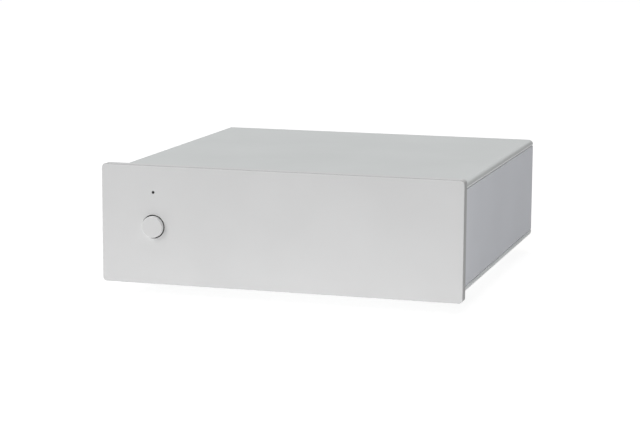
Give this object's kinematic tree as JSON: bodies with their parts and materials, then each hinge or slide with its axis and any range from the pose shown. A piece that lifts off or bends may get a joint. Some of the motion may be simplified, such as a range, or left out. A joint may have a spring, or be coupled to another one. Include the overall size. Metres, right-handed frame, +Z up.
{
  "type": "phono preamp",
  "caption": "Small flat phono preamplifier: silver case of rails and sliding covers, thick front panel with push button and indicator, phono sockets and ground post behind.",
  "frame": {"origin": "on the surface that the feet stand on, under the middle of the whole object", "axes": "+Z up, -Y towards the front panel's user, +X to the user's right"},
  "size_m": [0.103, 0.1194, 0.037],
  "materials": {
    "front_aluminium": "satin bead-blasted silver anodised",
    "case_aluminium": "satin silver anodised",
    "rail_aluminium": "satin silver anodised extrusion",
    "rear_aluminium": "satin silver anodised",
    "zinc_steel": "zinc-plated",
    "black_steel": "black oxide",
    "board_green": "solder mask",
    "capacitor_sleeve": "shrink sleeve",
    "film_red": "epoxy",
    "black_plastic": "moulded",
    "relay_plastic": "moulded",
    "resistor_blue": "lacquer",
    "white_plastic": "moulded",
    "spring_steel": "bright wire",
    "led_plastic": "clear resin",
    "clear_plastic": "polished acrylic",
    "gold_contact": "gold-plated",
    "gold_plate": "gold-plated, polished",
    "socket_insulator": "moulded",
    "ring_red": "moulded",
    "ring_white": "moulded",
    "switch_blue": "moulded",
    "foot_rubber": "matt moulded"
  },
  "bodies": {
    "case": {"bottom_cover": "case_aluminium", "electrolytic_capacitors": "capacitor_sleeve", "film_capacitors": "film_red", "foot_front_left": "foot_rubber", "foot_front_right": "foot_rubber", "foot_rear_left": "foot_rubber", "foot_rear_right": "foot_rubber", "foot_screws": "zinc_steel", "front_panel": "front_aluminium", "front_plate": "zinc_steel", "front_plate_screws": "zinc_steel", "ground_fixing_nut": "gold_plate", "ground_post": "gold_plate", "input_left_core": "socket_insulator", "input_left_ring": "ring_white", "input_left_shell": "gold_plate", "input_right_core": "socket_insulator", "input_right_ring": "ring_red", "input_right_shell": "gold_plate", "left_rail": "rail_aluminium", "light_pipe": "clear_plastic", "main_board": "board_green", "muting_relay": "relay_plastic", "op_amps": "black_plastic", "output_left_core": "socket_insulator", "output_left_ring": "ring_white", "output_left_shell": "gold_plate", "output_right_core": "socket_insulator", "output_right_ring": "ring_red", "output_right_shell": "gold_plate", "panel_screws": "zinc_steel", "power_inlet_body": "black_plastic", "power_inlet_pin": "gold_contact", "rear_panel": "rear_aluminium", "rear_panel_screws": "black_steel", "resistors": "resistor_blue", "return_spring": "spring_steel", "right_rail": "rail_aluminium", "setting_block_left": "switch_blue", "setting_block_right": "switch_blue", "socket_contacts": "gold_contact", "socket_nuts": "gold_plate", "socket_washers": "black_plastic", "status_led": "led_plastic", "switch_housing": "black_plastic", "top_cover": "case_aluminium", "voltage_regulator": "black_plastic"},
    "button": {"power_button": "front_aluminium", "switch_plunger": "white_plastic"},
    "ground_clamp": {"ground_washer": "gold_plate"},
    "ground_nut": {"ground_thumb_nut": "gold_plate"},
    "slider_left_1": {"slider_left_1": "white_plastic"},
    "slider_left_2": {"slider_left_2": "white_plastic"},
    "slider_left_3": {"slider_left_3": "white_plastic"},
    "slider_left_4": {"slider_left_4": "white_plastic"},
    "slider_right_1": {"slider_right_1": "white_plastic"},
    "slider_right_2": {"slider_right_2": "white_plastic"},
    "slider_right_3": {"slider_right_3": "white_plastic"},
    "slider_right_4": {"slider_right_4": "white_plastic"}
  },
  "joints": [
    {"name": "power_button_press", "type": "slide", "parent": "case", "child": "button", "axis": [0, 1, 0], "range_m": [0, 0.001], "stiffness_N_per_m": 1200, "springref_m": -0.0008, "deforming": ["return_spring"]},
    {"name": "ground_nut_travel", "type": "slide", "parent": "case", "child": "ground_clamp", "axis": [0, 1, 0], "range_m": [0, 0.0028]},
    {"name": "ground_nut_turn", "type": "hinge", "parent": "ground_clamp", "child": "ground_nut", "pos_m": [0.009, 0.051, 0.0222], "axis": [0, 1, 0], "range_deg": [0, 1440]},
    {"name": "slider_left_1_slide", "type": "slide", "parent": "case", "child": "slider_left_1", "axis": [0, 1, 0], "range_m": [0, 0.0016]},
    {"name": "slider_left_2_slide", "type": "slide", "parent": "case", "child": "slider_left_2", "axis": [0, 1, 0], "range_m": [0, 0.0016]},
    {"name": "slider_left_3_slide", "type": "slide", "parent": "case", "child": "slider_left_3", "axis": [0, 1, 0], "range_m": [0, 0.0016]},
    {"name": "slider_left_4_slide", "type": "slide", "parent": "case", "child": "slider_left_4", "axis": [0, 1, 0], "range_m": [0, 0.0016]},
    {"name": "slider_right_1_slide", "type": "slide", "parent": "case", "child": "slider_right_1", "axis": [0, 1, 0], "range_m": [0, 0.0016]},
    {"name": "slider_right_2_slide", "type": "slide", "parent": "case", "child": "slider_right_2", "axis": [0, 1, 0], "range_m": [0, 0.0016]},
    {"name": "slider_right_3_slide", "type": "slide", "parent": "case", "child": "slider_right_3", "axis": [0, 1, 0], "range_m": [0, 0.0016]},
    {"name": "slider_right_4_slide", "type": "slide", "parent": "case", "child": "slider_right_4", "axis": [0, 1, 0], "range_m": [0, 0.0016]}
  ],
  "couplings": [
    {"joint": "ground_nut_turn", "follows": "ground_nut_travel", "rad_per_m": 8975.9}
  ]
}
